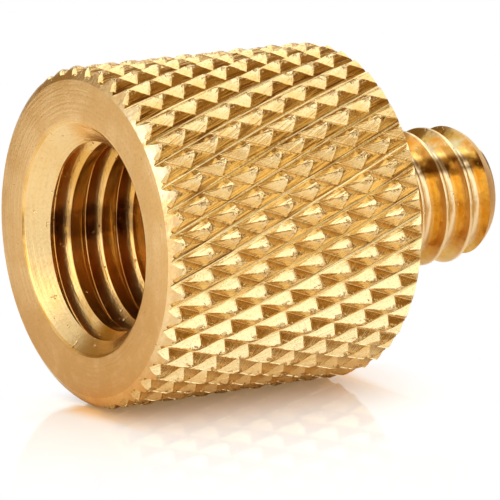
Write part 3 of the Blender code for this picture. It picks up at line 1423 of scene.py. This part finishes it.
@dataclass
class Studio:
    """The pale table and the soft light."""

    view: ViewPoint
    table_angle: float = math.radians(103.3)
    table_size: float = 1.2
    pale_colour: Colour = (0.93, 0.92, 0.91, 1.0)
    contact_shade_colour: Colour = (0.90, 0.58, 0.27, 1.0)
    mirrored_shade_colour: Colour = (0.94, 0.66, 0.34, 1.0)
    shade_colour: Colour = (0.50, 0.33, 0.12, 1.0)
    shade_share: float = 0.9
    shade_span: Span = (14.0 * MM, 30.0 * MM)
    dimmed_share: float = 0.16
    dimmed_span: Span = (22.0 * MM, 50.0 * MM)
    contact_reach: float = 9.0 * MM
    mirrored_reach: float = 23.0 * MM
    far_span: Span = (0.5 * MM, 7.0 * MM)
    white_span: Span = (7.0 * MM, 21.0 * MM)
    behind: float = 5.5
    before: float = 3.4
    table_glow: float = 0.25
    far_glow: float = 0.08
    floor_glow: float = 0.28
    gap: float = 0.01 * MM
    floor_gap: float = 0.05 * MM
    gloss_roughness: float = 0.06
    least_flat: float = 0.001
    surroundings: Colour = (0.86, 0.83, 0.79, 1.0)
    cards: tuple[Card, ...] = (
        Card("right_gap", 104.0, 8.0, 28.0, 31.0, (0.32, 0.17, 0.04)),
        Card("left_back_gap", -136.0, 16.0, 24.0, 26.0, (0.28, 0.17, 0.05)),
        Card("back_box", 176.0, 50.0, 30.0, 22.0, (1.6, 1.52, 1.4)),
        Card("front_box", 18.0, 20.0, 34.0, 20.0, (1.33, 1.33, 1.33)),
        Card("right_top_box", 55.0, 50.0, 26.0, 18.0, (1.45, 1.42, 1.35)),
        Card("left_box", -58.0, 22.0, 15.0, 21.0, (2.1, 2.1, 2.1)),
        Card("overhead", 0.0, 90.0, 170.0, 18.0, (1.8, 1.78, 1.7)),
    )

    @property
    def normal(self) -> Vector:
        """Returns the upward side of the table that the adapter lies on."""
        return -Vector((math.cos(self.table_angle), math.sin(self.table_angle), 0.0))

    def directions(self) -> tuple[Vector, Vector]:
        """Finds the table's own directions.

        Returns:
            Its direction towards the camera and its direction to the picture's right.
        """
        right, _, towards = self.view.axes()
        front = (towards - self.normal * towards.dot(self.normal)).normalized()
        side = self.normal.cross(front).normalized()
        return front, side if side.dot(right) > 0 else -side

    def table(self) -> bpy.types.Object:
        """Makes the pale table that the adapter lies on in the picture, which can't be seen from behind."""
        middle = -self.normal * (BODY_RADIUS + self.gap) + Vector((0, 0, BODY_LENGTH / 2))
        return self.pane("table", self.normal, middle, self.table_material(middle))

    def floor(self) -> bpy.types.Object:
        """Makes the pale floor, which lights nothing and can't be seen from below.

        Returns:
            The floor.
        """
        material, kit, pale = self.pale_start("floor")
        kit.feed(pale.inputs["Base Color"], self.pale_colour)
        kit.feed(pale.inputs["Emission Strength"], self.floor_glow)
        self.clear_behind(kit, pale.outputs[0])
        item = self.pane("floor", Vector((0, 0, 1)), Vector((0, 0, -self.floor_gap)), material)
        item.visible_diffuse = item.visible_glossy = item.visible_transmission = item.visible_shadow = False
        return item

    def pane(self, name: str, normal: Vector, middle: Vector,
             material: bpy.types.Material) -> bpy.types.Object:
        """Makes one wide plane.

        Args:
            name: The object's name.
            normal: The side it is seen from.
            middle: The plane's middle.
            material: The plane's material.

        Returns:
            The plane.
        """
        builder = bmesh.new()
        turn = normal.to_track_quat('Z', 'Y').to_matrix()
        half = self.table_size / 2
        builder.faces.new([builder.verts.new(middle + turn @ Vector((x * half, y * half, 0)))
                           for x, y in ((-1, -1), (1, -1), (1, 1), (-1, 1))])
        mesh = bpy.data.meshes.new(name)
        builder.to_mesh(mesh)
        builder.free()
        item = bpy.data.objects.new(name, mesh)
        bpy.context.collection.objects.link(item)
        item.data.materials.append(material)
        return item

    def pale_start(self, name: str) -> tuple[bpy.types.Material, NodeKit, bpy.types.Node]:
        """Starts a glossy white material.

        Args:
            name: The material's name.

        Returns:
            The material, its node kit and its shader.
        """
        material = bpy.data.materials.new(name)
        material.use_nodes = True
        kit = NodeKit(material.node_tree)
        shader = kit.nodes["Principled BSDF"]
        shader.inputs["Roughness"].default_value = self.gloss_roughness
        shader.inputs["Emission Color"].default_value = (1.0, 1.0, 1.0, 1.0)
        return material, kit, shader

    @staticmethod
    def clear_behind(kit: NodeKit, shader: Plug) -> None:
        """Ends a material so that its plane is clear from behind.

        Args:
            kit: The material's node kit.
            shader: The shader that is seen from in front.
        """
        side = kit.nodes.new("ShaderNodeNewGeometry").outputs["Backfacing"]
        clear = kit.nodes.new("ShaderNodeBsdfTransparent").outputs[0]
        kit.feed(kit.nodes["Material Output"].inputs["Surface"], kit.cover(side, shader, clear))

    def distances(self, kit: NodeKit, place: Plug, middle: Vector) -> tuple[Plug, Plug]:
        """Measures how far a place on the table is from the line that the body touches.

        Args:
            kit: The table's node kit.
            place: The place.
            middle: The line's middle.

        Returns:
            The distance, which grows faster behind the body, and another that also does so before its mouth.
        """
        front, _ = self.directions()
        axis = Vector((0, 0, 1))
        across = self.normal.cross(axis)
        across *= math.copysign(1.0, across.dot(front))
        along = kit.along(place, axis)
        beyond = kit.times(kit.maths('SUBTRACT', along, BODY_LENGTH), self.behind)
        off = kit.maths('SUBTRACT', kit.along(place, across), middle.dot(across))
        off = kit.maths('MAXIMUM', off, kit.times(off, -self.behind))
        past_ends = kit.maths('MAXIMUM', kit.maths('MAXIMUM', beyond, kit.times(along, -1.0)), 0.0)
        apart = kit.maths('ADD', off, past_ends)
        touch = kit.maths('ADD', apart, kit.maths('MAXIMUM', kit.times(along, -self.before), 0.0))
        return apart, touch

    def table_colour(self, kit: NodeKit, place: Plug, middle: Vector, touch: Plug, seen: Plug) -> Plug:
        """Colours the table: painted warm shade at the contact, painted warm glow round it where the brass
        mirrors the table, and painted shade at the right.

        Args:
            kit: The table's node kit.
            place: The place.
            middle: The middle of the line that the body touches.
            touch: The distance from that line.
            seen: 1 where the camera sees the table itself, and 0 where the brass mirrors it.

        Returns:
            The colour.
        """
        front, side = self.directions()
        mirrored = kit.opposite(seen)
        # Painted shade: camera rays see the table warm and dark near the contact line.
        near = kit.between(touch, self.contact_reach, 0.0)
        colour = kit.blend(kit.times(seen, near, near), self.pale_colour, self.contact_shade_colour)
        # Painted warm glow and shade: where the brass mirrors the table, the table is warm near the contact.
        around = kit.times(mirrored, kit.between(touch, self.mirrored_reach, 0.0))
        colour = kit.blend(around, colour, self.mirrored_shade_colour)
        right = kit.maths('SUBTRACT', kit.along(place, side), middle.dot(side))
        shaded = kit.times(kit.between(right, *self.shade_span), self.shade_share)
        colour = kit.blend(shaded, colour, self.shade_colour)
        corner = kit.between(kit.along(place, (front + side).normalized()), *self.dimmed_span)
        return kit.blend(kit.times(mirrored, corner, self.dimmed_share), colour, self.shade_colour)

    def table_material(self, middle: Vector) -> bpy.types.Material:
        """Makes the table's material: painted shade near the body, blown out to white away from it.

        Args:
            middle: The middle of the line that the body touches the table along.

        Returns:
            The material.
        """
        material, kit, pale = self.pale_start("table")
        place = kit.nodes.new("ShaderNodeNewGeometry").outputs["Position"]
        seen = kit.nodes.new("ShaderNodeLightPath").outputs["Is Camera Ray"]
        apart, touch = self.distances(kit, place, middle)
        colour = self.table_colour(kit, place, middle, touch, seen)
        kit.feed(pale.inputs["Base Color"], colour)
        # For camera rays the table glows in its own colour, a little less at the contact, which lifts the
        # painted contact shade and brightens the rest.
        kit.feed(pale.inputs["Emission Color"], colour)
        glow = kit.raised(kit.between(apart, *self.far_span), self.far_glow, self.table_glow)
        kit.feed(pale.inputs["Emission Strength"], kit.times(seen, glow))
        white = kit.nodes.new("ShaderNodeEmission")
        blown = kit.times(seen, kit.between(apart, *self.white_span))
        self.clear_behind(kit, kit.cover(blown, pale.outputs[0], white.outputs[0]))
        return material

    def world(self) -> None:
        """Makes a white backdrop and the soft cards round the table that light the adapter."""
        world = bpy.data.worlds.new("studio")
        bpy.context.scene.world = world
        world.use_nodes = True
        kit = NodeKit(world.node_tree)
        front, side = self.directions()
        way = kit.nodes.new("ShaderNodeTexCoord").outputs["Generated"]
        rise = kit.along(way, self.normal)
        height = kit.maths('ARCSINE', rise)
        flat = kit.maths('MAXIMUM', kit.maths('SQRT', kit.opposite(kit.times(rise, rise))), self.least_flat)
        colour: Plug | Colour = self.surroundings
        for card in self.cards:
            turn = math.radians(card.around)
            towards = front * math.cos(turn) + side * math.sin(turn)
            near = kit.maths('DIVIDE', kit.along(way, towards), flat)
            colour = kit.blend(card.share(kit, near, height), colour, (*card.colour, 1.0))
            log.info("card %s set up", card.name)
        light = kit.nodes["Background"]
        kit.feed(light.inputs["Color"], colour)
        white = kit.nodes.new("ShaderNodeBackground")
        kit.feed(white.inputs["Color"], (1.0, 1.0, 1.0, 1.0))
        seen = kit.nodes.new("ShaderNodeLightPath").outputs["Is Camera Ray"]
        backdrop = kit.cover(seen, light.outputs[0], white.outputs[0])
        kit.feed(kit.nodes["World Output"].inputs["Surface"], backdrop)

    def build(self) -> None:
        """Builds the stage and its light."""
        self.world()
        self.table()
        self.floor()


def corners(box: tuple[Vector, Vector]) -> list[list[float]]:
    """Turns a box's two corners into plain lists."""
    return [list(corner) for corner in box]


def main() -> None:
    logging.basicConfig(level=logging.INFO, format="%(message)s")
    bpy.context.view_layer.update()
    view = ViewPoint()
    view.place()
    adapter = Adapter()
    body = adapter.build()
    for surface in Surface:
        body.data.materials.append(finish_of(surface).material())
    adapter.mark(body)
    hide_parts(NODE)
    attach(body, "root")
    log.info("adapter built and dressed")
    Studio(view).build()
    scene = bpy.context.scene
    scene.view_settings.view_transform = 'Standard'


if __name__ == "__main__":
    main()
